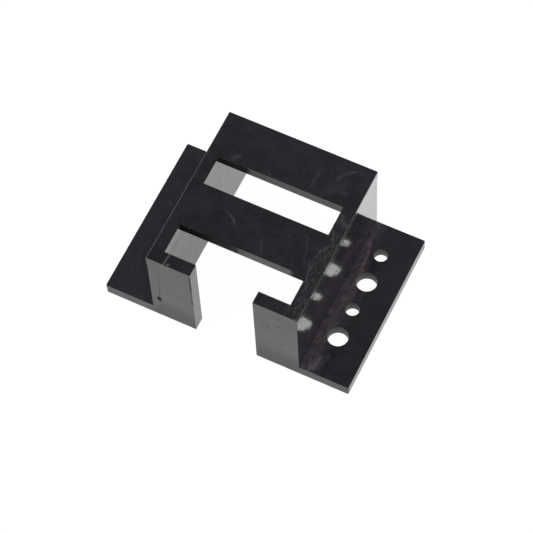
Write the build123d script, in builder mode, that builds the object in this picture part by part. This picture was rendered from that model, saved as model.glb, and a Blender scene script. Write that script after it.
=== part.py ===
"""Moulded saddle mount for a small flat-sided DC motor.

One piece: a bay that drops over the motor, two end stops that its nose passes
between, two windows in the top plate, and a drilled foot down each side.
Millimetres. X runs across the motor, Y along its shaft towards the open back,
Z up. The origin is on the surface it is screwed to, at the centre of the base.
"""
import os
from build123d import *

# The motor that the bay takes, and the room left round it
motor_width = 20.0
motor_height = 15.0
motor_length = 25.0
side_clearance = 0.05
top_clearance = 0.2

# Walls of the bay
side_wall = 1.95
top_plate = 1.8
end_stop = 2.0
nose_gap = 10.0

# The top plate stands a hair proud of the side walls, at the mould's parting line
plate_lip = 0.1
lip_taper = 0.6
plate_edge_radius = 0.12

# Windows in the top plate, with a bridge between them
window_length = 5.0
bridge_length = 7.5

# Feet and their two sizes of screw hole, in a row down each foot
foot_reach = 8.0
foot_thickness = 2.0
large_hole = 3.2
small_hole = 2.2
hole_pitch = 5.0
first_hole = 7.0
hole_from_wall = 3.0
foot_corner_radius = 0.2

# Sizes that follow
bay_width = motor_width + 2 * side_clearance
bay_height = motor_height + top_clearance
wall_half = bay_width / 2 + side_wall
plate_half = wall_half + plate_lip
foot_half = wall_half + foot_reach
height = bay_height + top_plate
depth = end_stop + motor_length
front = -depth / 2
bay_front = front + end_stop
hole_row_spacing = 2 * (wall_half + hole_from_wall)

with BuildPart() as motor_mount:
    # Hat-shaped section, drawn from the front as one half and its mirror image
    with BuildSketch(Plane.XZ.offset(-front)):
        with BuildLine():
            Polyline(
                (0, bay_height),
                (bay_width / 2, bay_height),
                (bay_width / 2, 0),
                (foot_half, 0),
                (foot_half, foot_thickness),
                (wall_half, foot_thickness),
                (wall_half, bay_height - lip_taper),
                (plate_half, bay_height),
                (plate_half, height),
                (0, height),
            )
            mirror(about=Plane.YZ)
        make_face()
    extrude(amount=-depth)

    # End stops, down to the base, with a gap between them for the motor's nose
    with BuildSketch(Plane.XZ.offset(-front)):
        Rectangle(bay_width, bay_height, align=(Align.CENTER, Align.MIN))
        Rectangle(nose_gap, bay_height, align=(Align.CENTER, Align.MIN), mode=Mode.SUBTRACT)
    extrude(amount=-end_stop)

    # Windows as wide as the bay, the front one open to the front through the nose gap
    with BuildSketch(Plane.XY.offset(height)):
        window_starts = [bay_front, bay_front + window_length + bridge_length]
        with Locations(*[(0, start) for start in window_starts]):
            Rectangle(bay_width, window_length, align=(Align.CENTER, Align.MIN))
        with Locations((0, front)):
            Rectangle(nose_gap, end_stop, align=(Align.CENTER, Align.MIN))
    extrude(amount=-top_plate, mode=Mode.SUBTRACT)

    # Four holes down each foot: large, small, large, small from the front
    for diameter, first_in_row in ((large_hole, first_hole), (small_hole, first_hole + hole_pitch)):
        row_middle = front + first_in_row + hole_pitch
        with Locations((0, row_middle, foot_thickness)):
            with GridLocations(hole_row_spacing, 2 * hole_pitch, 2, 2):
                Hole(diameter / 2, depth=foot_thickness)

    # Edges: the plate's two long top edges, and the feet's upright outer corners
    plate_edges = motor_mount.edges().filter_by(Axis.Y).group_by(Axis.Z)[-1].sort_by(Axis.X)
    fillet([plate_edges[0], plate_edges[-1]], radius=plate_edge_radius)
    uprights = motor_mount.edges().filter_by(Axis.Z).group_by(Axis.X)
    fillet(uprights[0] + uprights[-1], radius=foot_corner_radius)

motor_mount.part.label = "motor_mount"

os.makedirs("parts", exist_ok=True)
export_step(motor_mount.part, "parts/motor_mount.step")
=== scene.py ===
"""Dresses a moulded motor mount and lights it as a small black part on a white table.

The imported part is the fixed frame. This script models the moulding again at the same sizes, with the
pit, fine lines and nicks of a used part, and gives it its glossy black finish. It adds the table, the
lamps and the camera. Lengths in the modelling are in metres, and those inside the finish are in
millimetres.
"""

import logging
import math
from dataclasses import dataclass, field
from enum import Enum
from typing import Callable, List, Optional, Sequence, Tuple, Union

import bmesh
import bpy
from mathutils import Matrix, Vector


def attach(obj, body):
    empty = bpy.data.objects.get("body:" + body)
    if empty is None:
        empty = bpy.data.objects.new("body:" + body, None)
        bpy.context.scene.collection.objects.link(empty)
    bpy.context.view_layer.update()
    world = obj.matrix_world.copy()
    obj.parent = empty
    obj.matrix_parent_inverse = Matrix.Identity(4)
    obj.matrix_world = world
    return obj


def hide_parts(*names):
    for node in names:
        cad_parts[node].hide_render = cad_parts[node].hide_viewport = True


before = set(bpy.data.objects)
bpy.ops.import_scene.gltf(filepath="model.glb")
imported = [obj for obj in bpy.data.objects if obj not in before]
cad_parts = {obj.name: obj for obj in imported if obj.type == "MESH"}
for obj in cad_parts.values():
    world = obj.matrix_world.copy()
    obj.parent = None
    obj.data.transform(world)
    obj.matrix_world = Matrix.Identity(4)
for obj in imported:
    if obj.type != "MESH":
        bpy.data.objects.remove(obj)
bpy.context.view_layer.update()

log = logging.getLogger("motor_mount_scene")

Point = Tuple[float, float, float]
Colour = Tuple[float, float, float]
WHITE: Colour = (1.0, 1.0, 1.0)
Span = Tuple[float, float]
Shares = Tuple[float, float]
Band = Tuple[float, float, float]
MM = 0.001
TINY = 0.00001
MERGE_WITHIN = TINY / 10
# The share along an axis past which a direction or a normal counts as along it
MOSTLY = 0.9
NOISE_MIDDLE = 0.5
# Which axes count on a face that is looked at from above, from the front or from the side
FROM_ABOVE: Point = (1, 1, 0)
FROM_THE_FRONT: Point = (1, 0, 1)
FROM_THE_SIDE: Point = (0, 1, 1)


class Element(Enum):
    """What an edit in edit mode works on."""

    POINTS = "VERT"
    EDGES = "EDGE"
    FACES = "FACE"


class Value:
    """A number, colour or vector that the finish works out at every point, with Python's operators."""

    def __init__(self, graph: "Graph", socket: bpy.types.NodeSocket) -> None:
        """Wraps a socket.

        Args:
            graph: The node graph that the socket belongs to.
            socket: The output socket that carries the value.
        """
        self.graph = graph
        self.socket = socket

    def _math(self, operation: str, first: "Operand", second: "Operand") -> "Value":
        """Adds one Math node and returns its result."""
        return self.graph.node("ShaderNodeMath", {"operation": operation}, {0: first, 1: second})

    def __add__(self, other: "Operand") -> "Value":
        """Sum with another value or a plain number."""
        return self._math("ADD", self, other)

    def __radd__(self, other: "Operand") -> "Value":
        """Sum with a plain number on the left."""
        return self._math("ADD", other, self)

    def __sub__(self, other: "Operand") -> "Value":
        """Difference from another value or a plain number."""
        return self._math("SUBTRACT", self, other)

    def __rsub__(self, other: "Operand") -> "Value":
        """Difference of a plain number and this value."""
        return self._math("SUBTRACT", other, self)

    def __mul__(self, other: "Operand") -> "Value":
        """Product with another value or a plain number."""
        return self._math("MULTIPLY", self, other)

    def __rmul__(self, other: "Operand") -> "Value":
        """Product with a plain number on the left."""
        return self._math("MULTIPLY", other, self)

    def __abs__(self) -> "Value":
        """Size without its sign."""
        return self._math("ABSOLUTE", self, 0.0)

    def __or__(self, other: "Operand") -> "Value":
        """The larger of two masks."""
        return self._math("MAXIMUM", self, other)

    def __and__(self, other: "Operand") -> "Value":
        """The smaller of two masks."""
        return self._math("MINIMUM", self, other)


Operand = Union[Value, float, Sequence[float]]


@dataclass(frozen=True)
class Mottle:
    """Patches of soft noise: their size, finer layers and how strong those are, and where the mask rises."""

    size: Point
    layers: float
    strength: float
    low: float
    high: float


@dataclass(frozen=True)
class Hairlines:
    """Fine wandering scratches that mostly run one way.

    They have a direction about Z in degrees, a spacing along each turned axis in millimetres, and a width as
    a share of the spacing.
    """

    turn: float
    spacing: Point
    width: float
    layers: float = 1.5
    strength: float = 0.6


class Graph:
    """The nodes of a material or of the world, added one call at a time."""

    def __init__(self, tree: bpy.types.NodeTree) -> None:
        """Empties the tree.

        Args:
            tree: The node tree to fill.
        """
        self.tree = tree
        tree.nodes.clear()

    def node(self, kind: str, settings: Optional[dict] = None, sockets: Optional[dict] = None,
             output: Union[int, str] = 0) -> Value:
        """Adds a node.

        Args:
            kind: The node's type, such as ShaderNodeMath.
            settings: Its properties, set before its sockets.
            sockets: Its inputs by name or number, each a number, a colour or a Value.
            output: The output that is wanted.

        Returns:
            That output, or the first input of a node that has no outputs.
        """
        made = self.tree.nodes.new(kind)
        for name, setting in (settings or {}).items():
            setattr(made, name, setting)
        for key, given in (sockets or {}).items():
            socket = made.inputs[key]
            if isinstance(key, str) and not socket.enabled:
                socket = next(s for s in made.inputs if s.enabled and s.name == key)
            if isinstance(given, Value):
                self.tree.links.new(given.socket, socket)
            else:
                socket.default_value = given
        if not made.outputs:
            return Value(self, made.inputs[0])
        found = made.outputs[output]
        if not found.enabled:
            found = next(s for s in made.outputs if s.enabled)
        return Value(self, found)

    def point(self) -> Value:
        """Place on the object, in millimetres."""
        place = self.node("ShaderNodeTexCoord", output="Object")
        return self.node("ShaderNodeVectorMath", {"operation": "SCALE"}, {0: place, "Scale": 1 / MM})

    def axis(self, vector: Value, name: str) -> Value:
        """One coordinate of a vector, X, Y or Z."""
        return self.node("ShaderNodeSeparateXYZ", None, {0: vector}, name)

    def vector(self, operation: str, first: Operand, second: Operand, output: str = "Vector") -> Value:
        """Adds one Vector Math node and returns the output that is named."""
        return self.node("ShaderNodeVectorMath", {"operation": operation}, {0: first, 1: second}, output)

    def step(self, value: Value, low: float, high: float) -> Value:
        """A smooth step.

        Args:
            value: What is compared.
            low: Where the step starts, with 0.
            high: Where it ends, with 1. It may be less than low.

        Returns:
            A mask from 0 to 1.
        """
        ends = {"Value": value, "From Min": low, "From Max": high}
        return self.node("ShaderNodeMapRange", {"interpolation_type": "SMOOTHSTEP"}, ends)

    def band(self, value: Value, low: float, high: float, soft: float) -> Value:
        """A mask that is 1 between two values and fades out beyond them.

        Args:
            value: What is compared.
            low: Where the band starts.
            high: Where it ends.
            soft: How far it fades on each side.

        Returns:
            A mask from 0 to 1.
        """
        middle, half = (low + high) / 2, (high - low) / 2
        return self.step(abs(value - middle), half + soft, half)

    def noise(self, vector: Value, size: Point, detail: float = 2.0, rough: float = 0.5) -> Value:
        """Soft noise.

        Args:
            vector: The place that it is read at, in millimetres.
            size: How large its patches are along each axis, in millimetres.
            detail: How many finer layers it has.
            rough: How strong those are.

        Returns:
            A number near 0.5.
        """
        scaled = self.vector("DIVIDE", vector, size)
        ends = {"Vector": scaled, "Scale": 1.0, "Detail": detail, "Roughness": rough}
        return self.node("ShaderNodeTexNoise", {"noise_dimensions": "3D"}, ends, "Fac")

    def mottle(self, vector: Value, pattern: Mottle) -> Value:
        """A mask from 0 to 1 of soft patches."""
        soft = self.noise(vector, pattern.size, pattern.layers, pattern.strength)
        return self.step(soft, pattern.low, pattern.high)

    def hairlines(self, vector: Value, lines: Hairlines) -> Value:
        """Fine scratches, where soft noise crosses its middle.

        Args:
            vector: The place that they are read at, in millimetres.
            lines: How they run.

        Returns:
            A mask from 0 to 1.
        """
        turned = self.node("ShaderNodeMapping", None, {
            "Vector": vector, "Rotation": (0, 0, math.radians(lines.turn))})
        soft = self.noise(turned, lines.spacing, lines.layers, lines.strength)
        return self.step(abs(soft - NOISE_MIDDLE), lines.width, 0.0)

    def wander(self, place: Value, size: float, by: float) -> Value:
        """A place that soft noise has shifted, so that a line read there wavers.

        Args:
            place: The place, in millimetres.
            size: How far apart the bends are.
            by: How far the shift may go, in all.

        Returns:
            The shifted place.
        """
        ends = {"Vector": place, "Scale": 1 / size, "Detail": 2.0, "Roughness": 0.5}
        drift = self.node("ShaderNodeTexNoise", {"noise_dimensions": "3D"}, ends, "Color")
        centred = self.vector("SUBTRACT", drift, (NOISE_MIDDLE,) * 3)
        return self.vector("ADD", place, self.vector("MULTIPLY", centred, (by, by, by)))

    def stroke(self, place: Value, points: Sequence[Point], width: float) -> Value:
        """A scratch through a few points.

        Args:
            place: Where it is read, flattened on to the face that carries the scratch.
            points: The points that it passes, on the same face.
            width: Its width, in millimetres.

        Returns:
            A mask from 0 to 1.
        """
        nearest: Optional[Value] = None
        for start, end in zip(points, points[1:]):
            run = Vector(end) - Vector(start)
            offset = self.vector("SUBTRACT", place, start)
            along = self.vector("DOT_PRODUCT", offset, tuple(run), "Value")
            share = self.node("ShaderNodeMath", {"operation": "MULTIPLY", "use_clamp": True},
                              {0: along, 1: 1 / run.length_squared})
            foot = self.node("ShaderNodeVectorMath", {"operation": "SCALE"}, {0: tuple(run), "Scale": share})
            distance = self.vector("DISTANCE", offset, foot, "Value")
            nearest = distance if nearest is None else nearest & distance
        return self.step(nearest, width, 0.0)

    def mix(self, amount: Operand, first: Operand, second: Operand) -> Value:
        """A colour between two colours."""
        return self.node("ShaderNodeMix", {"data_type": "RGBA"}, {"Factor": amount, "A": first, "B": second})

    def finish(self, shader: Value, output: str = "ShaderNodeOutputMaterial") -> None:
        """Joins a shader to the tree's output.

        Args:
            shader: The finished shader.
            output: The type of the output node.
        """
        self.node(output, None, {"Surface": shader})


def opaque(colour: Colour) -> Tuple[float, float, float, float]:
    """A colour with full alpha, as Blender's colour sockets take it."""
    return (*colour, 1.0)


def at_least(share: float, mask: Value) -> Value:
    """A mask that rises from a share instead of from 0."""
    return share + (1 - share) * mask


@dataclass(frozen=True)
class Scratch:
    """A scratch on a flat face: the points that it passes, its width and how plainly it shows."""

    points: Tuple[Point, ...]
    width: float
    strength: float


class Zone(Enum):
    """The parts of the moulding that have marks of their own."""

    PLATE = "plate"
    WALLS = "walls"
    FEET = "feet"


@dataclass(frozen=True)
class Spot:
    """Where a finish is read: its place on the mount in millimetres, whole and by axis."""

    graph: Graph
    point: Value
    x: Value
    y: Value
    z: Value

    @classmethod
    def on(cls, graph: Graph) -> "Spot":
        """The spot of a graph."""
        point = graph.point()
        return cls(graph, point, *(graph.axis(point, name) for name in "XYZ"))


@dataclass(frozen=True)
class Look:
    """What a zone adds: its colour, more roughness, dull places (real marks and painted shade), a painted
    reflection as extra coat, and how wavy it is.
    """

    colour: Value
    rough: Operand
    # Dull places: real marks, and painted shade
    dull: Operand = 0.0
    painted_reflection: Operand = 0.0
    wavy: Operand = 1.0


@dataclass(frozen=True)
class GlossyBlackMoulding:
    """Glossy black plastic that has been handled: mottled, scratched, worn along an edge and dusty, with
    painted highlight, shade and reflection in places.

    Places are in millimetres. A span is where a mask is 0 and where it is 1. A band is where a mask starts
    and ends, and how far it fades on each side. A pair of shares is what is there at least, and what the
    pattern adds.
    """

    clean: Colour = (0.0040, 0.0038, 0.0072)
    mottled: Colour = (0.0160, 0.0153, 0.0205)
    haze: Colour = (0.030, 0.032, 0.047)
    # Pale wear and scuffs, and the painted highlight along the plate's left rim
    scuffed_and_highlight: Colour = (0.105, 0.100, 0.098)
    smeared: Colour = (0.094, 0.091, 0.112)
    dust: Colour = (0.134, 0.116, 0.138)
    pink_dust: Colour = (0.205, 0.140, 0.152)
    bore: Colour = (0.006, 0.006, 0.006)
    dull_black: Colour = (0.004, 0.004, 0.005)
    roughness: float = 0.07
    patch_roughness: float = 0.05
    mark_roughness: float = 0.3
    dust_roughness: float = 0.12
    bore_roughness: float = 0.45
    dull_roughness: float = 0.6
    dull_shine: float = 0.1
    index: float = 1.56
    wave_height: float = 0.10
    wave_size: Point = (3.0, 3.0, 3.0)
    wave_layers: float = 1.5
    grain_height: float = 0.005
    grain_size: Point = (0.3, 0.3, 0.3)

    broad_patches: Mottle = Mottle((2.6, 2.6, 2.6), 4.0, 0.6, 0.36, 0.66)
    fine_patches: Mottle = Mottle((0.35, 0.35, 0.35), 2.0, 0.6, 0.3, 0.75)
    broad_share: float = 0.65
    bend_spacing: float = 0.7
    stroke_gaps: Mottle = Mottle((0.4, 0.4, 0.4), 3.0, 0.65, 0.36, 0.60)
    gap_least: float = 0.25

    worn_across: Span = (8.8, 10.6)
    worn_along: Span = (7.0, 4.0)
    worn_all_over: float = 0.02
    web_lines: Tuple[Hairlines, ...] = (
        Hairlines(24, (0.70, 6.0, 1.0), 0.026),
        Hairlines(-20, (0.75, 6.0, 1.0), 0.024),
    )
    web_share: float = 0.42
    line_breaks: Mottle = Mottle((0.9, 0.9, 1.0), 3.0, 0.65, 0.36, 0.58)
    worn_specks: Mottle = Mottle((0.26, 0.36, 1.0), 1.5, 0.6, 0.60, 0.74)
    speck_share: float = 0.30
    faint_lines: Hairlines = Hairlines(-55, (2.2, 14.0, 1.0), 0.010)
    faint_share: float = 0.07
    plate_waver: float = 0.5
    plate_dulling: float = 0.18
    hazy_back: Span = (6.5, 10.0)
    back_haze: float = 0.11
    rub_size: Point = (0.5, 0.9, 0.5)
    rub_layers: float = 4.0
    rub_strength: float = 0.7
    # Painted highlight: a pale line along the plate's left rim, broken up by rub noise
    left_rim_highlight: Span = (-11.88, -11.98)
    left_rim_highlight_rub: Span = (0.20, 0.55)
    left_rim_highlight_shares: Shares = (0.20, 0.14)
    left_rim_rough: Span = (-11.96, -12.0)
    left_rim_roughness: float = 0.4
    right_rim: Span = (11.98, 12.02)
    right_rim_rub: Span = (0.42, 0.65)
    right_rim_share: float = 0.30
    knit_end: Span = (-11.4, -11.6)

    drawn_streaks: Mottle = Mottle((0.9, 0.9, 9.0), 3.0, 0.6, 0.4, 0.75)
    streak_share: float = 0.04
    dust_clumps: Mottle = Mottle((0.8, 1.2, 0.8), 3.0, 0.6, 0.30, 0.62)
    dust_least: float = 0.4
    wall_dust: float = 0.12
    wall_rubbing: Mottle = Mottle((0.5, 0.9, 0.5), 4.0, 0.7, 0.35, 0.8)
    wall_face: Span = (11.9, 11.98)
    bay_face: Span = (10.2, 10.1)
    front_face: Span = (-13.40, -13.47)
    lip: Span = (14.8, 15.2)
    scuffed_middle: Band = (-4.0, 6.0, 6.0)
    scuff_shares: Shares = (0.24, 0.34)
    left_lip: Span = (-12.02, -12.08)
    left_lip_share: float = 0.40
    # Painted reflection: extra coat on the right wall's back part, where it mirrors the bright table behind
    # the mount
    painted_reflection_behind: Span = (9.5, 13.0)
    painted_reflection_slant: float = 0.4
    painted_reflection_share: float = 0.85
    dusty_wall_roughness: float = 0.01
    # Painted reflection: blotchy extra coat on the bay's inner walls, rising toward the back
    bay_blotches: Mottle = Mottle((1.5, 1.8, 1.2), 3.0, 0.6, 0.36, 0.64)
    bay_reflection_rise: Span = (-8.0, 4.0)
    bay_reflection_shares: Tuple[float, float, float] = (0.03, 0.07, 0.06)
    # Painted shade: a dull band on the bay's inner walls toward the front
    bay_shade_height: Band = (13.2, 14.6, 0.9)
    bay_shade_length: Band = (-11.4, -4.6, 0.6)
    bay_shade_share: float = 0.15
    flatter: float = 0.6
    outer_flatter: float = 0.7

    streak_turn: float = 13.0
    foot_streaks: Mottle = Mottle((0.28, 1.7, 1.0), 4.0, 0.75, 0.40, 0.64)
    foot_top: Span = (1.8, 1.9)
    right_foot: Span = (11.0, 12.0)
    narrow_behind: Span = (1.0, 8.0)
    narrow_in_front: Span = (-8.0, -9.5)
    narrow_by: Span = (1.6, 0.4)
    fringe_size: Point = (0.9, 1.8, 0.9)
    fringe_layers: float = 3.0
    fringe_strength: float = 0.6
    fringe_sway: float = 1.8
    film_edge: Span = (16.0, 14.8)
    film_shares: Shares = (0.15, 0.10)
    dust_edge: Span = (15.2, 14.0)
    dust_shares: Shares = (0.23, 0.60)
    pink_share: float = 1.35
    pink_waver: float = 0.6
    foot_waver: float = 0.35
    foot_haze: float = 0.27
    haze_across: Span = (11.0, 0.0)
    haze_along: Span = (-10.0, 5.0)

    hole_from_middle: float = 15.0
    hole_pitch: float = 10.0
    large_hole: Tuple[float, float] = (-6.5, 1.6)
    small_hole: Tuple[float, float] = (-1.5, 1.1)
    bore_edge: Span = (0.03, 0.01)
    bore_rows: Band = (-8.5, 9.8, 0.05)

    # Painted shade: dull black on the windows' back edges, where they show a dark reflection
    window_side: Band = (15.25, 16.88, 0.03)
    window_end: Span = (10.12, 10.06)
    rear_edge: Band = (5.97, 6.03, 0.02)
    rear_shade_span: Span = (-4.1, -5.75)
    rear_shade_least: float = 0.38
    bridge_edge: Band = (-6.53, -6.47, 0.02)
    bridge_shade_span: Span = (-4.9, -5.3)
    bridge_shade_least: float = 0.16
    edge_shade_share: float = 0.95
    front_marks: Span = (-13.41, -13.44)
    pit_reach: Span = (-12.9, -13.0)

    plate_scratches: Tuple[Scratch, ...] = (
        Scratch(((-6.2, -1.55, 0), (-4.6, -1.80, 0)), 0.18, 0.16),
        Scratch(((-4.6, -1.9, 0), (-3.7, -2.3, 0), (-3.0, -3.1, 0)), 0.30, 0.46),
        Scratch(((-1.0, -2.6, 0), (1.6, -2.1, 0), (5.4, -1.7, 0)), 0.22, 0.08),
        Scratch(((1.7, -3.7, 0), (2.5, -5.9, 0)), 0.34, 0.16),
        Scratch(((-7.9, 6.6, 0), (-7.5, 7.2, 0)), 0.75, 0.30),
        Scratch(((9.3, 12.2, 0), (8.6, 11.6, 0), (7.6, 10.8, 0), (7.3, 9.9, 0)), 0.44, 0.28),
        Scratch(((4.4, 10.1, 0), (4.3, 8.5, 0), (4.4, 7.3, 0)), 0.62, 0.20),
        Scratch(((8.9, 9.6, 0), (7.8, 8.2, 0), (6.5, 7.1, 0)), 1.10, 0.14),
        Scratch(((9.1, 8.1, 0), (9.4, 8.0, 0)), 0.70, 0.20),
        Scratch(((9.9, 12.5, 0), (10.2, 12.4, 0)), 0.50, 0.14),
        Scratch(((10.4, 4.9, 0), (11.5, 3.1, 0)), 0.50, 0.34),
        Scratch(((7.4, -0.6, 0), (7.9, -1.7, 0), (8.4, -2.9, 0), (9.0, -5.1, 0)), 0.34, 0.16),
        Scratch(((11.2, -0.1, 0), (10.3, -1.8, 0), (9.9, -3.8, 0), (10.2, -5.4, 0)), 0.26, 0.32),
        Scratch(((9.4, -3.7, 0), (10.1, -5.8, 0), (10.9, -8.5, 0)), 0.26, 0.30),
    )
    plate_specks: Tuple[Scratch, ...] = (
        Scratch(((-8.72, -13.2, 0), (-8.62, -13.2, 0)), 0.30, 0.80),
        Scratch(((-2.1, 6.55, 0), (-2.0, 6.5, 0)), 0.26, 0.25),
    )
    foot_scratches: Tuple[Scratch, ...] = (
        Scratch(((14.2, -10.7, 0), (14.0, -12.7, 0)), 0.44, 0.85),
        Scratch(((13.8, -9.6, 0), (14.1, -8.8, 0)), 0.60, 0.30),
        Scratch(((13.3, -12.9, 0), (13.1, -11.6, 0)), 0.30, 0.40),
        Scratch(((-17.9, -4.0, 0), (-18.0, -8.0, 0), (-17.4, -12.0, 0)), 0.40, 0.12),
        Scratch(((-17.6, -6.8, 0), (-16.9, -9.4, 0)), 0.60, 0.14),
        Scratch(((-17.9, 2.4, 0), (-17.7, 3.2, 0)), 0.80, 0.12),
    )
    foot_specks: Tuple[Scratch, ...] = (
        Scratch(((12.25, 2.5, 0), (12.35, 2.7, 0)), 0.44, 0.60),
        Scratch(((13.0, -10.1, 0), (13.1, -10.0, 0)), 0.30, 0.30),
    )
    pink_lines: Tuple[Scratch, ...] = (
        Scratch(((12.1, 12.0, 0), (12.6, 9.9, 0)), 0.34, 0.40),
        Scratch(((12.6, 9.9, 0), (13.1, 7.9, 0), (13.35, 6.3, 0), (13.45, 4.8, 0)), 0.42, 0.85),
        Scratch(((13.5, 4.8, 0), (13.4, 2.6, 0), (13.7, 0.6, 0), (13.3, -1.6, 0)), 1.10, 0.42),
        Scratch(((12.6, 1.6, 0), (13.0, -1.0, 0), (12.6, -3.6, 0)), 0.80, 0.22),
        Scratch(((13.5, -1.6, 0), (13.2, -4.4, 0), (13.3, -6.4, 0), (12.9, -8.6, 0)), 1.00, 0.40),
        Scratch(((12.3, -8.4, 0), (13.4, -9.2, 0)), 0.80, 0.36),
    )
    knit_line: Scratch = Scratch(((-9.17, -11.5, 0), (-9.33, -13.5, 0)), 0.26, 0.62)
    pit: Scratch = Scratch(((-10.75, 0, 5.55), (-10.75, 0, 4.85)), 0.62, 0.90)
    dull_marks_and_edge_shade: Tuple[Scratch, ...] = (
        Scratch(((-10.62, 0, 16.6), (-10.45, 0, 12.0), (-10.45, 0, 9.0), (-10.62, 0, 6.0)), 0.20, 0.20),
        Scratch(((-5.12, 0, 9.15), (-5.12, 0, 8.65)), 0.34, 0.60),
        # The next two paint shade: a dark line down the left end stop's right edge
        Scratch(((-5.07, 0, 16.3), (-5.07, 0, 12.0)), 0.30, 0.80),
        Scratch(((-5.07, 0, 12.0), (-5.07, 0, 7.5)), 0.26, 0.40),
        Scratch(((8.6, 0, 12.35), (9.05, 0, 12.45)), 0.26, 0.28),
        Scratch(((7.15, 0, 11.2), (7.12, 0, 10.7)), 0.26, 0.25),
        Scratch(((8.6, 0, 14.75), (8.9, 0, 14.85)), 0.24, 0.22),
        Scratch(((10.6, 0, 14.15), (11.3, 0, 14.3), (11.9, 0, 14.6)), 0.20, 0.25),
        Scratch(((10.6, 0, 12.95), (11.8, 0, 13.2)), 0.18, 0.16),
    )
    wall_marks: Tuple[Scratch, ...] = (
        Scratch(((0, -0.66, 10.4), (0, -0.53, 10.0)), 0.24, 0.75),
        Scratch(((0, 1.81, 15.8), (0, 1.64, 15.4), (0, 2.45, 13.3)), 0.22, 0.60),
        Scratch(((0, 1.15, 16.0), (0, 1.10, 15.0)), 0.22, 0.40),
        Scratch(((0, -7.61, 14.6), (0, -7.49, 13.4)), 0.22, 0.35),
        Scratch(((0, -12.5, 15.5), (0, -12.06, 13.9), (0, -12.27, 12.9)), 0.24, 0.30),
        Scratch(((0, -11.56, 14.0), (0, -10.7, 11.1)), 0.24, 0.22),
    )

    def dress(self, name: str, zone: Zone) -> bpy.types.Material:
        """Makes the finish of one zone.

        Args:
            name: The material's name.
            zone: The zone that it is for.

        Returns:
            The finished material.
        """
        material = bpy.data.materials.new(name)
        material.use_nodes = True
        graph = Graph(material.node_tree)
        spot = Spot.on(graph)
        patches = self._patches(spot)
        black = graph.mix(patches, opaque(self.clean), opaque(self.mottled))
        marked = {Zone.PLATE: self._plate, Zone.WALLS: self._walls, Zone.FEET: self._feet}[zone]
        look = marked(spot, black)
        roughness = self.roughness + self.patch_roughness * patches + look.rough
        waves = self.wave_height * graph.noise(spot.point, self.wave_size, self.wave_layers) * look.wavy
        grain = self.grain_height * graph.noise(spot.point, self.grain_size)
        normal = graph.node("ShaderNodeBump", None, {
            "Strength": 1.0, "Distance": MM, "Height": waves + grain})
        glossy = graph.node("ShaderNodeBsdfPrincipled", None, {
            "Base Color": look.colour, "Roughness": roughness, "IOR": self.index, "Normal": normal,
            "Coat Weight": look.painted_reflection})
        dull = graph.node("ShaderNodeBsdfPrincipled", None, {
            "Base Color": opaque(self.dull_black), "Roughness": self.dull_roughness,
            "Specular IOR Level": self.dull_shine})
        graph.finish(graph.node("ShaderNodeMixShader", None, {0: look.dull, 1: glossy, 2: dull}))
        return material

    def _patches(self, spot: Spot) -> Value:
        """Mottling: soft patches a few millimetres across with a fine grain over them.

        Args:
            spot: Where it is read.

        Returns:
            A mask from 0 to 1.
        """
        graph = spot.graph
        broad = graph.mottle(spot.point, self.broad_patches)
        grain = graph.mottle(spot.point, self.fine_patches)
        return self.broad_share * broad + (1 - self.broad_share) * grain

    def _strokes(self, spot: Spot, scratches: Sequence[Scratch], flat: Point, waver: float = 0.0) -> Value:
        """A set of scratches.

        Args:
            spot: Where they are read.
            scratches: The scratches.
            flat: 0 for the axis that the scratched face looks along, and 1 for the others.
            waver: How far they stray from their points, in millimetres. Those that stray are broken up too.

        Returns:
            A mask from 0 to 1.
        """
        graph = spot.graph
        place = graph.wander(spot.point, self.bend_spacing, waver) if waver else spot.point
        place = graph.vector("MULTIPLY", place, flat)
        marks: Operand = 0.0
        for scratch in scratches:
            marks = scratch.strength * graph.stroke(place, scratch.points, scratch.width) | marks
        if waver:
            marks = marks * at_least(self.gap_least, graph.mottle(place, self.stroke_gaps))
        return marks

    def _plate(self, spot: Spot, black: Value) -> Look:
        """The plate's top: hazy at the back, worn at its right end, with a painted highlight along the left
        rim, a pale rubbed right rim and one pale knit line.

        Args:
            spot: Where it is read.
            black: The mottled black that it starts from.

        Returns:
            How the plate looks.
        """
        graph, x, y = spot.graph, spot.x, spot.y
        level = graph.vector("MULTIPLY", spot.point, FROM_ABOVE)
        worn_end = graph.step(x, *self.worn_across) & graph.step(y, *self.worn_along)
        broken = graph.mottle(level, self.line_breaks)
        web = graph.hairlines(level, self.web_lines[0])
        web = web | graph.hairlines(level, self.web_lines[1])
        specks = graph.mottle(level, self.worn_specks)
        faint = graph.hairlines(level, self.faint_lines)
        worn = (self.worn_all_over + self.web_share * web * broken | self.speck_share * specks) * worn_end
        marks = self.faint_share * faint * broken
        marks = marks | self._strokes(spot, self.plate_scratches, FROM_ABOVE, self.plate_waver)
        colour = graph.mix(self.plate_dulling, black, opaque(self.dull_black))
        colour = graph.mix(self.back_haze * graph.step(y, *self.hazy_back), colour, opaque(self.haze))
        colour = graph.mix(marks, colour, opaque(self.smeared))
        rubbed = graph.noise(spot.point, self.rub_size, self.rub_layers, self.rub_strength)
        least, more = self.left_rim_highlight_shares
        # Painted highlight along the left rim
        left = graph.step(x, *self.left_rim_highlight) * (least + more * graph.step(rubbed, *self.left_rim_highlight_rub))
        right = self.right_rim_share * graph.step(x, *self.right_rim)
        right = right * graph.step(rubbed, *self.right_rim_rub)
        knit = self._strokes(spot, (self.knit_line,), FROM_ABOVE) * graph.step(y, *self.knit_end)
        knit = knit | self._strokes(spot, self.plate_specks, FROM_ABOVE)
        pale = worn | left | right | knit
        rim = self.left_rim_roughness * graph.step(x, *self.left_rim_rough)
        return Look(graph.mix(pale, colour, opaque(self.scuffed_and_highlight)), self.mark_roughness * (marks | pale) | rim)

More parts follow.
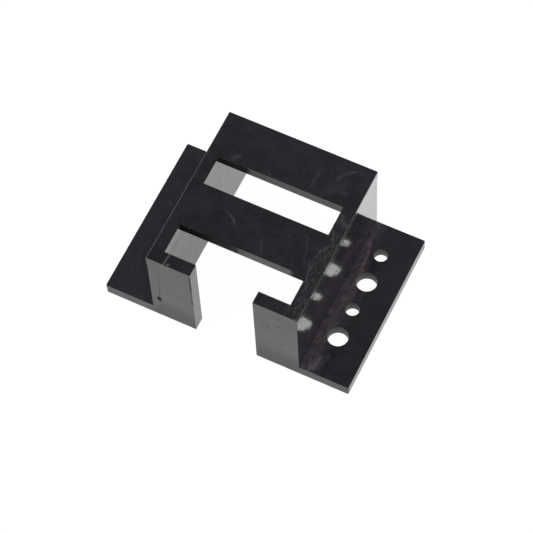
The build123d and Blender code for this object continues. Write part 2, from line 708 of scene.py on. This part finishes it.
    def _walls(self, spot: Spot, black: Value) -> Look:
        """The upright faces: drawn streaks, a dusty right wall with a painted reflection as extra coat at its
        back, and a bay with blotchy painted reflection toward the back and a band of painted shade in front.

        Args:
            spot: Where it is read.
            black: The mottled black that it starts from.

        Returns:
            How the walls look.
        """
        graph, x, y, z = spot.graph, spot.x, spot.y, spot.z
        streaks = graph.mottle(spot.point, self.drawn_streaks)
        clumps = graph.mottle(spot.point, self.dust_clumps)
        rubbed = graph.mottle(spot.point, self.wall_rubbing)
        right = graph.step(x, *self.wall_face)
        lip = graph.step(z, *self.lip)
        least, more = self.scuff_shares
        scuffs = right * lip * (least + more * graph.band(y, *self.scuffed_middle) * rubbed)
        left_lip = self.left_lip_share * graph.step(x, *self.left_lip) * lip
        dusty = self.wall_dust * right * at_least(self.dust_least, clumps) * (1 - lip)
        colour = graph.mix(dusty, black, opaque(self.dust))
        pale = scuffs | left_lip | self.streak_share * streaks * (1 - lip)
        colour = graph.mix(pale, colour, opaque(self.scuffed_and_highlight))
        # Painted reflection: extra coat on the right wall, rising toward the back, where it mirrors the
        # bright table
        behind = self.painted_reflection_share * graph.step(y + self.painted_reflection_slant * z, *self.painted_reflection_behind) * right
        front = graph.step(y, *self.front_face)
        inner, outer = graph.step(abs(x), *self.bay_face), graph.step(abs(x), *self.wall_face)
        rough = self.mark_roughness * scuffs + self.dusty_wall_roughness * right * (1 - behind)
        # Painted reflection: blotchy extra coat on the bay's inner walls, more toward the back
        blotches = graph.mottle(spot.point, self.bay_blotches)
        everywhere, in_blotches, on_lip = self.bay_reflection_shares
        painted_bay_reflection = (everywhere + in_blotches * blotches + on_lip * lip) * inner
        painted_bay_reflection = painted_bay_reflection * graph.step(y, *self.bay_reflection_rise)
        # Painted shade: a dull band on the bay's inner walls toward the front
        painted_bay_shade = self.bay_shade_share * inner * graph.band(z, *self.bay_shade_height) * graph.band(y, *self.bay_shade_length)
        flat = self.flatter * (front | inner | self.outer_flatter * outer)
        return Look(colour, rough, self._dull_and_painted_shade(spot) | painted_bay_shade, behind | painted_bay_reflection, 1 - flat)

    def _feet(self, spot: Spot, black: Value) -> Look:
        """The feet: a bluish haze, dust and pink lines by the right wall, and dull bores.

        Args:
            spot: Where it is read.
            black: The mottled black that it starts from.

        Returns:
            How the feet look.
        """
        graph, x, y, z = spot.graph, spot.x, spot.y, spot.z
        turned = graph.node("ShaderNodeMapping", None, {
            "Vector": spot.point, "Rotation": (0, 0, math.radians(self.streak_turn))})
        on_top = graph.step(z, *self.foot_top)
        right = on_top * graph.step(x, *self.right_foot)
        behind, in_front = self.narrow_by
        narrow = behind * graph.step(y, *self.narrow_behind) | in_front * graph.step(y, *self.narrow_in_front)
        sway = graph.noise(spot.point, self.fringe_size, self.fringe_layers, self.fringe_strength)
        fringe = x + narrow + self.fringe_sway * (sway - NOISE_MIDDLE)
        streaks = graph.mottle(turned, self.foot_streaks)
        clumps = graph.mottle(spot.point, self.dust_clumps)
        least, more = self.film_shares
        film = right * graph.step(fringe, *self.film_edge) * (least + more * clumps)
        least, more = self.dust_shares
        dust = right * graph.step(fringe, *self.dust_edge) * (least + more * streaks * clumps)
        pink = self.pink_share * self._strokes(spot, self.pink_lines, FROM_ABOVE, self.pink_waver)
        pink = pink * at_least(self.dust_least, streaks) * right
        marks = self._strokes(spot, self.foot_scratches, FROM_ABOVE, self.foot_waver) * on_top
        marks = marks | self._strokes(spot, self.foot_specks, FROM_ABOVE) * on_top
        bores = self._bores(spot)
        haze = self.foot_haze * (graph.step(x, *self.haze_across) | graph.step(y, *self.haze_along))
        colour = graph.mix(haze, black, opaque(self.haze))
        colour = graph.mix(film | dust, colour, opaque(self.dust))
        colour = graph.mix(pink, colour, opaque(self.pink_dust))
        colour = graph.mix(marks, colour, opaque(self.scuffed_and_highlight))
        colour = graph.mix(bores, colour, opaque(self.bore))
        rough = self.mark_roughness * marks + self.dust_roughness * dust + self.bore_roughness * bores
        return Look(colour, rough)

    def _bores(self, spot: Spot) -> Value:
        """The dull walls of the screw holes.

        Args:
            spot: Where they are read.

        Returns:
            A mask from 0 to 1.
        """
        graph = spot.graph
        across = abs(spot.x) - self.hole_from_middle
        outside, within = self.bore_edge
        inside: Operand = 0.0
        for first, radius in (self.large_hole, self.small_hole):
            along = graph.node("ShaderNodeMath", {"operation": "WRAP"}, {
                0: spot.y - first, 1: self.hole_pitch / 2, 2: -self.hole_pitch / 2})
            flat = graph.node("ShaderNodeCombineXYZ", None, {0: across, 1: along})
            distance = graph.vector("DISTANCE", flat, (0, 0, 0), "Value")
            inside = graph.step(distance, radius + outside, radius + within) | inside
        return inside * graph.band(spot.y, *self.bore_rows)

    def _dull_and_painted_shade(self, spot: Spot) -> Value:
        """Where the plastic mirrors nothing: painted shade on the windows' back edges in part and down the
        left end stop's right edge, and the pit and real lines and marks.

        Args:
            spot: Where they are read.

        Returns:
            A mask from 0 to 1.
        """
        graph, x, y, z = spot.graph, spot.x, spot.y, spot.z
        # Painted shade: dull black on the windows' back edges
        side = graph.band(z, *self.window_side) * graph.step(abs(x), *self.window_end)
        rear_shade = self.edge_shade_share * graph.step(x, *self.rear_shade_span) | self.rear_shade_least
        bridge_shade = self.edge_shade_share * graph.step(x, *self.bridge_shade_span) | self.bridge_shade_least
        rear = graph.band(y, *self.rear_edge) * rear_shade
        bridge = graph.band(y, *self.bridge_edge) * bridge_shade
        # Real dull marks, and painted shade down the left end stop's right edge
        marks = self._strokes(spot, self.dull_marks_and_edge_shade, FROM_THE_FRONT) * graph.step(y, *self.front_marks)
        pit = self._strokes(spot, (self.pit,), FROM_THE_FRONT) * graph.step(y, *self.pit_reach)
        wall = self._strokes(spot, self.wall_marks, FROM_THE_SIDE) * graph.step(x, *self.wall_face)
        return side * (rear | bridge) | marks | pit | wall


class Bench:
    """A mesh on the bench: its points, edges and faces are picked by place and shaped in edit mode."""

    def __init__(self, piece: bpy.types.Object) -> None:
        """Opens a piece in edit mode.

        Args:
            piece: The object to shape. It is the active object.
        """
        self.piece = piece
        bpy.ops.object.mode_set(mode="EDIT")

    @classmethod
    def sheet(cls, name: str, low: Tuple[float, float], high: Tuple[float, float], height: float) -> "Bench":
        """Starts from a flat sheet.

        Args:
            name: The piece's name.
            low: Its lowest X and Y.
            high: Its highest X and Y.
            height: The level that it lies at.

        Returns:
            The bench with the sheet on it.
        """
        bpy.ops.object.select_all(action="DESELECT")
        middle = ((low[0] + high[0]) / 2, (low[1] + high[1]) / 2, height)
        bpy.ops.mesh.primitive_plane_add(size=1.0, location=middle)
        piece = bpy.context.object
        piece.name = name
        piece.scale = (high[0] - low[0], high[1] - low[1], 1.0)
        bpy.ops.object.transform_apply(location=True, rotation=True, scale=True)
        return cls(piece)

    def pick(self, element: Element, wanted: Callable[[Vector, Vector], bool]) -> None:
        """Selects elements by place.

        Args:
            element: Points, edges or faces.
            wanted: Says whether one is wanted, from its middle and its normal or direction.
        """
        bpy.ops.mesh.select_mode(type=element.value)
        bpy.ops.mesh.select_all(action="DESELECT")
        mesh = bmesh.from_edit_mesh(self.piece.data)
        if element is Element.POINTS:
            found = [v for v in mesh.verts if wanted(v.co, v.normal)]
        elif element is Element.EDGES:
            found = [e for e in mesh.edges if wanted((e.verts[0].co + e.verts[1].co) / 2,
                                                     (e.verts[1].co - e.verts[0].co).normalized())]
        else:
            found = [f for f in mesh.faces if wanted(f.calc_center_median(), f.normal)]
        for item in found:
            item.select_set(True)
        mesh.select_flush_mode()
        bmesh.update_edit_mesh(self.piece.data)

    def cut(self, place: Point, normal: Point) -> None:
        """Cuts all faces along a plane, keeping both sides."""
        bpy.ops.mesh.select_all(action="SELECT")
        bpy.ops.mesh.bisect(plane_co=place, plane_no=normal, threshold=MERGE_WITHIN)

    def extrude(self, by: Point) -> None:
        """Extrudes what is picked and moves it."""
        bpy.ops.mesh.extrude_region_move(TRANSFORM_OT_translate={"value": by})

    def move(self, by: Point) -> None:
        """Moves what is picked."""
        bpy.ops.transform.translate(value=by)

    def round_off(self, radius: float, segments: int) -> None:
        """Rounds the picked edges."""
        bpy.ops.mesh.bevel(offset=radius, segments=segments, affect="EDGES", clamp_overlap=False)

    def settle(self, digits: Optional[int] = None) -> None:
        """Puts the points, edges and faces in the order of their places.

        Blender's operators leave them in an order that changes from run to run, and those that break ties by
        that order would then give another mesh each time.

        Args:
            digits: How many decimals the places keep, for a mesh whose last digits change from run to run.
        """
        mesh = bmesh.from_edit_mesh(self.piece.data)
        if digits is not None:
            for point in mesh.verts:
                point.co = [round(along, digits) for along in point.co]
        ordered = sorted(mesh.verts, key=lambda v: tuple(v.co))
        rank = {point: number for number, point in enumerate(ordered)}
        places = [point.co.copy() for point in ordered]
        edges = sorted(sorted(rank[point] for point in edge.verts) for edge in mesh.edges)
        faces: List[List[int]] = []
        for face in mesh.faces:
            corners = [rank[point] for point in face.verts]
            first = corners.index(min(corners))
            faces.append(corners[first:] + corners[:first])
        mesh.clear()
        points = [mesh.verts.new(place) for place in places]
        for ends in edges:
            mesh.edges.new([points[number] for number in ends])
        for corners in sorted(faces):
            mesh.faces.new([points[number] for number in corners])
        mesh.normal_update()
        bmesh.update_edit_mesh(self.piece.data)

    def close(self) -> bpy.types.Object:
        """Merges doubles, turns the faces outwards, puts all in order and leaves edit mode.

        Returns:
            The piece.
        """
        self.settle()
        bpy.ops.mesh.select_all(action="SELECT")
        bpy.ops.mesh.remove_doubles(threshold=MERGE_WITHIN)
        bpy.ops.mesh.normals_make_consistent(inside=False)
        self.settle()
        bpy.ops.object.mode_set(mode="OBJECT")
        return self.piece


@dataclass(frozen=True)
class Groove:
    """A shallow groove: where it starts and ends on a face, its width and depth, and the face's normal."""

    start: Point
    end: Point
    width: float
    depth: float
    out: Point


@dataclass
class MotorMount:
    """The moulding: a plate on two walls with end stops in front and a drilled foot down each side."""

    node: str = "motor_mount"
    body: str = "root"
    slot: str = "black_plastic"
    height: float = 0.017
    ceiling: float = 0.0152
    lip_end: float = 0.0146
    foot_top: float = 0.002
    plate_half: float = 0.0121
    wall_half: float = 0.012
    bay_half: float = 0.01005
    gap_half: float = 0.005
    foot_half: float = 0.020
    front: float = -0.0135
    bay_front: float = -0.0115
    windows: Tuple[Tuple[float, float], ...] = ((-0.0115, -0.0065), (0.001, 0.006))
    back: float = 0.0135
    hole_from_middle: float = 0.015
    large_hole_radius: float = 0.0016
    small_hole_radius: float = 0.0011
    large_holes: Tuple[float, ...] = (-0.0065, 0.0035)
    small_holes: Tuple[float, ...] = (-0.0015, 0.0085)
    drill_length: float = 0.006
    hole_sides: int = 64
    plate_edge_radius: float = 0.00012
    plate_edge_segments: int = 3
    foot_corner_radius: float = 0.0002
    foot_corner_segments: int = 5
    # The bevel's overlap clamp holds this to about 0.001 mm, because of the tiny edges that the marks leave
    edge_radius: float = 0.00005
    edge_segments: int = 2
    sharp_from: float = 40.0
    flat_within: float = 0.5
    flat_weight: int = 100
    pit_sides: int = 16
    pit_rings: int = 12
    pit_digits: int = 3
    pits: Tuple[Tuple[Point, Point], ...] = (
        ((-0.01075, -0.0135, 0.0052), (0.00024, 0.0003, 0.00046)),
        ((0.0192, -0.01362, 0.00212), (0.00022, 0.00022, 0.00022)),
        ((0.0186, -0.01360, 0.00210), (0.00017, 0.00017, 0.00017)),
        ((0.0178, -0.01362, 0.00211), (0.00018, 0.00018, 0.00018)),
        ((0.0088, -0.01352, 0.0124), (0.00012, 0.00008, 0.00014)),
        ((0.0071, -0.01352, 0.0110), (0.00010, 0.00008, 0.00016)),
    )
    grooves: Tuple[Groove, ...] = (
        Groove((-0.01045, -0.0135, 0.0166), (-0.01062, -0.0135, 0.0057), 0.00014, 0.00003, (0, -1, 0)),
        Groove((-0.00917, -0.0114, 0.0170), (-0.00933, -0.0136, 0.0170), 0.00018, 0.00004, (0, 0, 1)),
    )
    finish: GlossyBlackMoulding = field(default_factory=GlossyBlackMoulding)

    def build(self) -> bpy.types.Object:
        """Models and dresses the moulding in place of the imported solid.

        Returns:
            The finished piece.
        """
        piece = self._shell()
        self._drill(piece)
        self._mark(piece)
        self._soften(piece)
        piece.data.materials.clear()
        for zone in Zone:
            piece.data.materials.append(self.finish.dress(f"glossy_black_{zone.value}", zone))
        for face in piece.data.polygons:
            face.material_index = list(Zone).index(self._zone(face.center, face.normal))
        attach(piece, self.body)
        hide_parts(self.node)
        return piece

    def _zone(self, at: Vector, way: Vector) -> Zone:
        """The zone that a face belongs to.

        Args:
            at: The face's middle.
            way: Its normal.

        Returns:
            The zone.
        """
        if at.z > self.height - 2 * self.plate_edge_radius:
            return Zone.PLATE
        on_front = way.y < -MOSTLY and at.y < self.front + self.edge_radius
        if at.z < self.foot_top + TINY and abs(at.x) > self.wall_half and not on_front:
            return Zone.FEET
        return Zone.WALLS

    def _open(self, at: Vector) -> bool:
        """Whether a place on the plate falls in a window or in the gap between the end stops."""
        in_window = any(start < at.y < end for start, end in self.windows) and abs(at.x) < self.bay_half
        return in_window or (abs(at.x) < self.gap_half and at.y < self.bay_front)

    def _over_wall(self, at: Vector) -> bool:
        """Whether a place on the plate has a wall or an end stop under it."""
        return abs(at.x) > self.bay_half or at.y < self.bay_front

    def _shell(self) -> bpy.types.Object:
        """Draws the plate, then the walls, the end stops and the feet out of it.

        Returns:
            The shell, without holes.
        """
        bench = Bench.sheet("motor_mount_moulding", (-self.plate_half, self.front),
                            (self.plate_half, self.back), self.height)
        for line in (-self.bay_half, -self.gap_half, self.gap_half, self.bay_half):
            bench.cut((line, 0, 0), (1, 0, 0))
        for line in sorted({edge for window in self.windows for edge in window}):
            bench.cut((0, line, 0), (0, 1, 0))
        bench.pick(Element.FACES, lambda at, way: self._open(at))
        bpy.ops.mesh.delete(type="FACE")
        bpy.ops.mesh.select_all(action="SELECT")
        bench.extrude((0, 0, self.ceiling - self.height))

        bench.pick(Element.FACES, lambda at, way: abs(at.z - self.ceiling) < TINY and self._over_wall(at))
        bench.extrude((0, 0, self.lip_end - self.ceiling))
        for side in (-1, 1):
            bench.pick(Element.POINTS, lambda at, way: abs(at.z - self.lip_end) < TINY
                       and side * at.x > self.plate_half - TINY)
            bench.move((side * (self.wall_half - self.plate_half), 0, 0))
        for top, low in ((self.lip_end, self.foot_top), (self.foot_top, 0.0)):
            bench.pick(Element.FACES, lambda at, way: abs(at.z - top) < TINY and abs(way.z) > MOSTLY)
            bench.extrude((0, 0, low - top))
        for side in (-1, 1):
            bench.pick(Element.FACES, lambda at, way: abs(side * at.x - self.wall_half) < TINY
                       and at.z < self.foot_top)
            bench.extrude((side * (self.foot_half - self.wall_half), 0, 0))
        bench.settle()
        bpy.ops.mesh.select_all(action="SELECT")
        bpy.ops.mesh.normals_make_consistent(inside=False)
        bench.settle()
        bpy.ops.mesh.select_all(action="SELECT")
        bpy.ops.mesh.dissolve_limited(angle_limit=math.radians(self.flat_within))
        bench.settle()

        bench.pick(Element.EDGES, lambda at, way: abs(way.z) > MOSTLY
                   and abs(abs(at.x) - self.foot_half) < TINY)
        bench.round_off(self.foot_corner_radius, self.foot_corner_segments)
        bench.settle()
        bench.pick(Element.EDGES, lambda at, way: abs(way.y) > MOSTLY and abs(at.z - self.height) < TINY
                   and abs(abs(at.x) - self.plate_half) < TINY)
        bench.round_off(self.plate_edge_radius, self.plate_edge_segments)
        return bench.close()

    def _subtract(self, piece: bpy.types.Object, cutters: List[bpy.types.Object]) -> None:
        """Cuts shapes out of a piece.

        Args:
            piece: The piece that is cut.
            cutters: The shapes. They are used up.
        """
        bpy.ops.object.select_all(action="DESELECT")
        for cutter in cutters:
            cutter.select_set(True)
        bpy.context.view_layer.objects.active = cutters[0]
        if len(cutters) > 1:
            bpy.ops.object.join()
        bpy.ops.object.select_all(action="DESELECT")
        piece.select_set(True)
        bpy.context.view_layer.objects.active = piece
        cut = piece.modifiers.new("cut", "BOOLEAN")
        cut.operation = "DIFFERENCE"
        cut.solver = "EXACT"
        cut.object = cutters[0]
        bpy.ops.object.modifier_apply(modifier=cut.name)
        bpy.data.objects.remove(cutters[0])
        Bench(piece).close()

    def _drill(self, piece: bpy.types.Object) -> None:
        """Drills a row of large and small screw holes down each foot.

        Args:
            piece: The shell.
        """
        drills: List[bpy.types.Object] = []
        rows = ((self.large_hole_radius, self.large_holes), (self.small_hole_radius, self.small_holes))
        for side in (-1, 1):
            for radius, places in rows:
                for place in places:
                    bpy.ops.mesh.primitive_cylinder_add(
                        vertices=self.hole_sides, radius=radius, depth=self.drill_length,
                        location=(side * self.hole_from_middle, place, self.foot_top / 2))
                    drills.append(bpy.context.object)
        self._subtract(piece, drills)

    def _groove(self, groove: Groove) -> bpy.types.Object:
        """A long four-sided cutter for a shallow groove.

        Args:
            groove: The groove.

        Returns:
            The cutter.
        """
        start, end, normal = Vector(groove.start), Vector(groove.end), Vector(groove.out)
        run = end - start
        bpy.ops.mesh.primitive_cylinder_add(vertices=4, radius=1.0, depth=1.0)
        cutter = bpy.context.object
        along = run.normalized()
        across = normal.cross(along)
        sides = (across * groove.width / 2, normal * groove.depth, along * run.length)
        turn = Matrix(sides).transposed().to_4x4()
        cutter.data.transform(Matrix.Translation((start + end) / 2) @ turn)
        return cutter

    def _mark(self, piece: bpy.types.Object) -> None:
        """Cuts the pit and the nicks, the fine line in front and the knit line on top.

        Args:
            piece: The drilled shell.
        """
        cutters: List[bpy.types.Object] = []
        for place, size in self.pits:
            bpy.ops.mesh.primitive_uv_sphere_add(
                segments=self.pit_sides, ring_count=self.pit_rings, radius=1.0)
            cutter = bpy.context.object
            Bench(cutter).settle(self.pit_digits)
            bpy.ops.object.mode_set(mode="OBJECT")
            cutter.location, cutter.scale = place, size
            bpy.ops.object.transform_apply(location=True, rotation=True, scale=True)
            cutters.append(cutter)
        cutters.extend(self._groove(groove) for groove in self.grooves)
        self._subtract(piece, cutters)

    def _soften(self, piece: bpy.types.Object) -> None:
        """Rounds the sharp edges by the little that the clamp allows, and shades the piece.

        Args:
            piece: The cut shell.
        """
        rounded = piece.modifiers.new("rounded", "BEVEL")
        rounded.width = self.edge_radius
        rounded.segments = self.edge_segments
        rounded.limit_method = "ANGLE"
        rounded.angle_limit = math.radians(self.sharp_from)
        rounded.use_clamp_overlap = True
        bpy.ops.object.modifier_apply(modifier=rounded.name)
        Bench(piece).settle()
        bpy.ops.object.mode_set(mode="OBJECT")
        bpy.ops.object.shade_smooth()
        weighted = piece.modifiers.new("weighted", "WEIGHTED_NORMAL")
        weighted.keep_sharp = True
        weighted.weight = self.flat_weight
        bpy.ops.object.modifier_apply(modifier=weighted.name)


@dataclass
class Studio:
    """A white table, two soft boxes, and a bright room that darkens overhead."""

    table_half: float = 3.0
    shown_glow: float = 0.985
    shown_share: float = 0.05
    plain_share: float = 0.8
    # Painted light and shade in the table's reflections: its glow rises toward the back and dims before the
    # stops and feet and beside the left wall
    front_glow: float = 0.895
    painted_brightening: Span = (-22.0, 0.0)
    dark_starts: Span = (-16.4, -14.0)
    dark_ends: Span = (-13.0, -13.8)
    before_right_stop: Band = (4.5, 20.5, 1.5)
    before_left_stop: Band = (-11.5, -4.5, 1.5)
    before_left_foot: Band = (-20.5, -11.5, 1.5)
    foot_share: float = 0.45
    painted_shade_before_stops: float = 0.28
    wall_across: Span = (-5.5, -7.5)
    wall_along: Band = (-7.0, 3.0, 4.0)
    painted_shade_by_wall: float = 0.17
    greying: Span = (0.3, 0.7)
    overhead: float = 0.25
    room: float = 0.42
    key_place: Point = (-0.75, -0.75, 0.95)
    key_power: float = 11.0
    fill_place: Point = (1.0, -0.1, 0.7)
    fill_power: float = 5.0
    box_side: float = 0.8

    def build(self) -> None:
        """Adds the table, the lamps and the room."""
        self._table()
        self._lamp("key", self.key_place, self.key_power)
        self._lamp("fill", self.fill_place, self.fill_power)
        self._room()

    def _ray(self, graph: Graph, kind: str) -> Value:
        """1 for one kind of ray, such as Camera."""
        return graph.node("ShaderNodeLightPath", output=f"Is {kind} Ray")

    def _table(self) -> None:
        """A plain table that shows white and keeps a faint shadow. In reflections its glow is painted:
        brighter toward the back, with painted shade before the stops and feet and beside the left wall.
        """
        bpy.ops.object.select_all(action="DESELECT")
        bpy.ops.mesh.primitive_plane_add(size=2 * self.table_half, location=(0, 0, 0))
        table = bpy.context.object
        table.name = "white_table"
        material = bpy.data.materials.new("white_table")
        material.use_nodes = True
        graph = Graph(material.node_tree)
        point = graph.point()
        across, depth = graph.axis(point, "X"), graph.axis(point, "Y")
        # Painted light and shade: the glow that reflections see, brighter toward the back and darker before
        # the stops and beside the left wall
        painted_glow_to_back = self.front_glow + (self.shown_glow - self.front_glow) * graph.step(depth, *self.painted_brightening)
        shade_before_stops = graph.step(depth, *self.dark_starts) * graph.step(depth, *self.dark_ends)
        in_front = graph.band(across, *self.before_right_stop) | graph.band(across, *self.before_left_stop)
        in_front = in_front | self.foot_share * graph.band(across, *self.before_left_foot)
        shade_beside_wall = graph.step(across, *self.wall_across) * graph.band(depth, *self.wall_along)
        mirrored = painted_glow_to_back * (1 - self.painted_shade_before_stops * shade_before_stops * in_front)
        mirrored = mirrored * (1 - self.painted_shade_by_wall * shade_beside_wall)
        camera = self._ray(graph, "Camera")
        strength = camera * self.shown_glow + (1 - camera) * mirrored
        glow = graph.node("ShaderNodeEmission", None, {"Color": opaque(WHITE), "Strength": strength})
        matt = graph.node("ShaderNodeBsdfDiffuse", None, {"Color": opaque((self.shown_share,) * 3)})
        shown = graph.node("ShaderNodeAddShader", None, {0: glow, 1: matt})
        plain = graph.node("ShaderNodeBsdfDiffuse", None, {"Color": opaque((self.plain_share,) * 3)})
        seen = camera | self._ray(graph, "Glossy") | self._ray(graph, "Transmission")
        graph.finish(graph.node("ShaderNodeMixShader", None, {0: seen, 1: plain, 2: shown}))
        table.data.materials.append(material)

    def _lamp(self, name: str, place: Point, power: float) -> None:
        """Hangs a square soft box that faces the mount.

        Args:
            name: The lamp's name.
            place: Where it hangs.
            power: Its power in watts.
        """
        light = bpy.data.lights.new(name, "AREA")
        light.size = self.box_side
        light.energy = power
        lamp = bpy.data.objects.new(name, light)
        lamp.location = place
        lamp.rotation_euler = (-Vector(place)).to_track_quat("-Z", "Y").to_euler()
        bpy.context.scene.collection.objects.link(lamp)

    def _room(self) -> None:
        """The room: white to the camera, and in reflections white low down and grey overhead."""
        world = bpy.data.worlds.new("room")
        world.use_nodes = True
        bpy.context.scene.world = world
        graph = Graph(world.node_tree)
        height = graph.axis(graph.node("ShaderNodeTexCoord", output="Generated"), "Z")
        grey = 1 - (1 - self.overhead) * graph.step(height, *self.greying)
        mirrored = (self._ray(graph, "Glossy") | self._ray(graph, "Transmission")) * grey
        brightness = self._ray(graph, "Camera") | mirrored | self.room * (1 - self._ray(graph, "Glossy"))
        sky = graph.node("ShaderNodeBackground", None, {"Color": opaque(WHITE), "Strength": brightness})
        graph.finish(sky, "ShaderNodeOutputWorld")


@dataclass
class PhotoCamera:
    """The camera, at the photograph's angle."""

    azimuth: float = 29.620
    elevation: float = 62.067
    roll: float = 3.976
    distance: float = 0.39250
    target: Point = (0.001602, -0.002722, 0.006826)
    lens: float = 179.82
    nearest: float = 0.01
    farthest: float = 20.0

    def build(self) -> None:
        """Adds the camera and makes it the scene's."""
        azimuth, elevation = math.radians(self.azimuth), math.radians(self.elevation)
        level = math.cos(elevation)
        back = Vector((math.sin(azimuth) * level, -math.cos(azimuth) * level, math.sin(elevation)))
        upright = back.to_track_quat("Z", "Y").to_matrix()
        turned = upright @ Matrix.Rotation(-math.radians(self.roll), 3, "Z")
        data = bpy.data.cameras.new("photo_camera")
        data.lens = self.lens
        data.clip_start, data.clip_end = self.nearest, self.farthest
        camera = bpy.data.objects.new("photo_camera", data)
        camera.matrix_world = Matrix.Translation(Vector(self.target) + back * self.distance) @ turned.to_4x4()
        bpy.context.scene.collection.objects.link(camera)
        bpy.context.scene.camera = camera


def main() -> None:
    """Builds the mount, the studio and the camera."""
    logging.basicConfig(level=logging.INFO, format="%(message)s")
    scene = bpy.context.scene
    scene.view_settings.view_transform = "Standard"
    mount = MotorMount().build()
    log.info("%s: %d faces", mount.name, len(mount.data.polygons))
    Studio().build()
    PhotoCamera().build()
    log.info("studio and camera in place")


if __name__ == "__main__":
    main()
